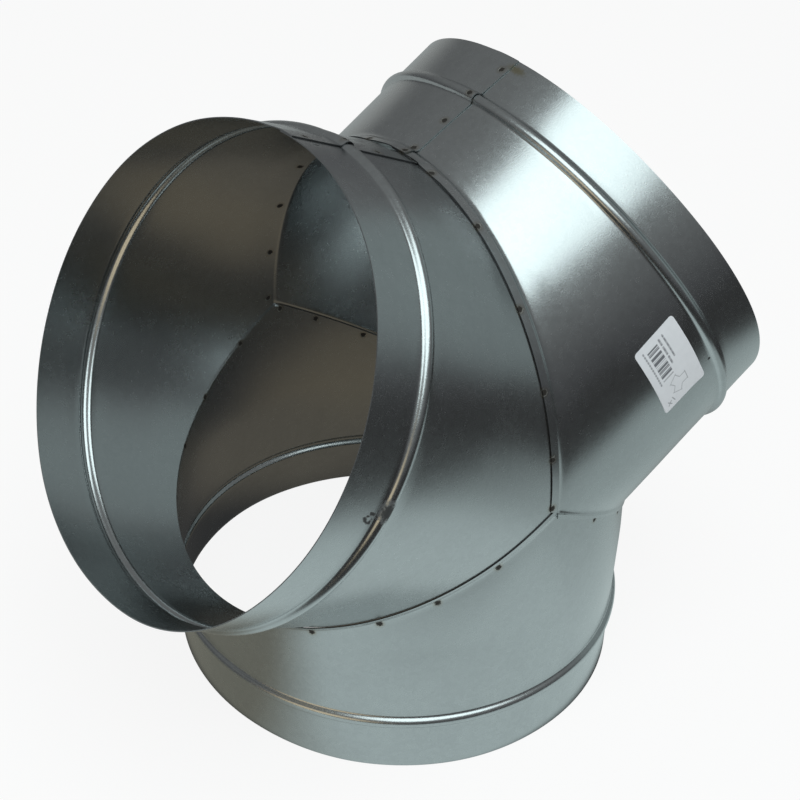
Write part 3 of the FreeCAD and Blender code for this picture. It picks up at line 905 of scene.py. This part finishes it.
def make_table_card():
    """The table top as reflections see it: pale in front, with the branch's own soft shade."""
    bpy.ops.mesh.primitive_circle_add(
        vertices=96, radius=3.9, fill_type="NGON", location=(0.0, 0.0, -0.0001)
    )
    card = bpy.context.object
    card.name = "table_card"

    def colour(tree):
        place = wire(tree, "ShaderNodeTexCoord").outputs["Object"]

        def along(way, start, stop):
            """0 before start metres along a horizontal way, and 1 after stop."""
            return eased(tree, vector_maths(tree, "DOT_PRODUCT", place, way + (0.0,)), start, stop)

        def about(x, y, start, stop):
            """0 within start metres of a point and 1 from stop on, or the other way round."""
            return eased(tree, vector_maths(tree, "DISTANCE", place, (x, y, 0.0)), start, stop)

        # The branch's shade on the table behind it: warm at the left, and dark far to the left.
        warm = (0.24, 0.235, 0.195, 1.0)
        cool = (0.27, 0.29, 0.285, 1.0)
        far_left = (0.11, 0.108, 0.095, 1.0)
        shade = blended(tree, warm, along((1.0, 0.0), -0.12, 0.02), cool)
        shade = blended(tree, shade, along((-1.0, 0.0), 0.25, 0.38), far_left)
        behind = along((0.0, 1.0), -0.10, -0.02)
        near = maths(tree, "MULTIPLY", behind, about(-0.22, 0.16, 0.62, 0.46))

        # The table itself: pale, and duller to the right and far behind.
        pale = (0.63, 0.73, 0.725, 1.0)
        duller = (0.46, 0.535, 0.53, 1.0)
        far_behind = (0.42, 0.45, 0.445, 1.0)
        top = blended(tree, pale, along((0.92, -0.38), 0.13, 0.24), duller)
        top = blended(tree, top, along((0.0, 1.0), 0.35, 0.8), far_behind)
        top = blended(tree, top, near, shade)

        # Painted shade on the table that the lower sleeve closes off, within its foot's slightly oval
        # ring: brown in the middle and dark towards the wall.
        brown = (0.18, 0.155, 0.115, 1.0)
        duller_brown = (0.15, 0.135, 0.11, 1.0)
        dark = (0.05, 0.05, 0.05, 1.0)
        inside = blended(tree, brown, about(0.0, 0.0, 0.05, 0.12), dark)
        inside = blended(tree, inside, about(0.02, 0.085, 0.07, 0.02), duller_brown)
        oval = vector_maths(tree, "MULTIPLY", place, (1.0, 0.968, 0.0))
        from_middle = vector_maths(tree, "DISTANCE", oval, (-0.0005, 0.001, 0.0))
        top = blended(tree, inside, eased(tree, from_middle, 0.1225, 0.1275), top)

        # Beyond the table's edges, in front and at the right, it is dark.
        top = blended(tree, top, along((-0.38, -0.92), 0.235, 0.30), dark)
        return blended(tree, top, along((0.92, -0.38), 0.39, 0.53), dark)

    card.data.materials.append(plain_emission("table_card", colour))
    reflected_only(card)


make_table_card()


def make_room_card():
    """The room as reflections see it: dark walls, paler to the right, behind and overhead."""
    bpy.ops.mesh.primitive_uv_sphere_add(segments=48, ring_count=24, radius=4.0)
    card = bpy.context.object
    card.name = "room_card"
    card.data.polygons.foreach_set("use_smooth", [True] * len(card.data.polygons))

    def colour(tree):
        place = wire(tree, "ShaderNodeTexCoord").outputs["Object"]
        way = vector_maths(tree, "NORMALIZE", place)
        level = wire(tree, "ShaderNodeSeparateXYZ", Vector=way).outputs["Z"]

        def patch(under, direction, inside, outside, shade):
            """Mixes a shade in about a direction, from its full share to none, by cosine."""
            towards = vector_maths(tree, "DOT_PRODUCT", way, direction)
            return blended(tree, under, eased(tree, towards, outside, inside), shade)

        dark, overhead = (0.07, 0.07, 0.075, 1.0), (0.22, 0.225, 0.225, 1.0)
        to_right, behind = (0.30, 0.352, 0.352, 1.0), (0.40, 0.41, 0.40, 1.0)
        warm_window = (1.1, 0.92, 0.64, 1.0)
        walls = blended(tree, dark, eased(tree, level, -0.1, 0.7), overhead)
        walls = patch(walls, (0.968, -0.15, 0.19), 0.93, 0.85, to_right)
        walls = patch(walls, (0.35, 0.92, -0.15), 0.97, 0.84, behind)
        return patch(walls, (-0.94, -0.32, 0.12), 0.975, 0.88, warm_window)

    card.data.materials.append(plain_emission("room_card", colour))
    reflected_only(card)


make_room_card()


def make_lamp():
    """A large soft lamp, high in front: a rectangle that faces the branch."""
    data = bpy.data.lights.new("window", "AREA")
    data.shape = "RECTANGLE"
    data.size = 1.5
    data.size_y = 1.38
    data.energy = 14.6
    data.color = (0.88, 1.0, 1.0)
    lamp = bpy.data.objects.new("window", data)
    bpy.context.collection.objects.link(lamp)
    away = np.array([-0.13, -0.40, 0.905])
    away /= np.linalg.norm(away)
    aim = np.array([0.0, 0.0, 0.15])
    side = np.cross([0.0, 1.0, 0.0], away)
    side /= np.linalg.norm(side)
    distance = 1.6
    lamp.matrix_world = facing(side, np.cross(away, side), away, aim + away * distance)


make_lamp()


def make_surround():
    """A white world for the camera and reflections, and a plain level of light for the rest."""
    world = bpy.data.worlds.new("surround")
    bpy.context.scene.world = world
    world.use_nodes = True
    tree = world.node_tree
    tree.nodes.clear()
    plain_level = 0.45
    strength = wire(
        tree, "ShaderNodeMapRange", Value=reaches_eye(tree),
        From_Min=0.0, From_Max=1.0, To_Min=plain_level, To_Max=1.0,
    ).outputs["Result"]
    light = wire(tree, "ShaderNodeBackground", Color=(1.0, 1.0, 1.0, 1.0), Strength=strength)
    output = tree.nodes.new("ShaderNodeOutputWorld")
    tree.links.new(light.outputs[0], output.inputs["Surface"])


make_surround()

bpy.context.scene.view_settings.view_transform = "Standard"
